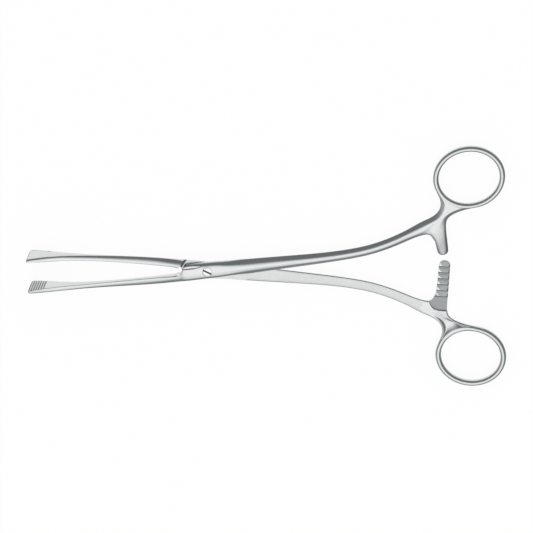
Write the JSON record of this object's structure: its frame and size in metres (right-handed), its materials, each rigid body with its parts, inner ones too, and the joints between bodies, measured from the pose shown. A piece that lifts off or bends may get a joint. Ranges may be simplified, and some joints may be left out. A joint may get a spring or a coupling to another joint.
{
  "type": "hemostatic forceps",
  "caption": "Ring-handled hemostatic forceps in bare stainless steel, with broad fan-shaped ridged tips, a screwed lap joint, half-round shanks and a toothed ratchet.",
  "frame": {"origin": "on the pivot axis, in the flat on the back of the lap joint, where the screw's tail is dressed flush", "axes": "+X along the instrument from the tips to the finger rings, +Y across it in the plane in which the arms open, +Z along the pivot axis out of the front of the joint, where the screw's slot is"},
  "size_m": [0.2104, 0.1114, 0.0142],
  "materials": {
    "satin_steel": "satin stainless steel, finely brushed along the instrument, brighter on the rounded edges",
    "bright_steel": "polished stainless steel screw, dressed flush with the joint"
  },
  "bodies": {
    "front_arm": {"front_arm": "satin_steel"},
    "rear_arm": {"rear_arm": "satin_steel", "joint_screw": "bright_steel"}
  },
  "joints": [
    {"name": "jaw_pivot", "type": "hinge", "parent": "front_arm", "child": "rear_arm", "pos_m": [0, 0, 0.0031], "axis": [0, 0, 1], "range_deg": [-35.5, 9.5]}
  ]
}
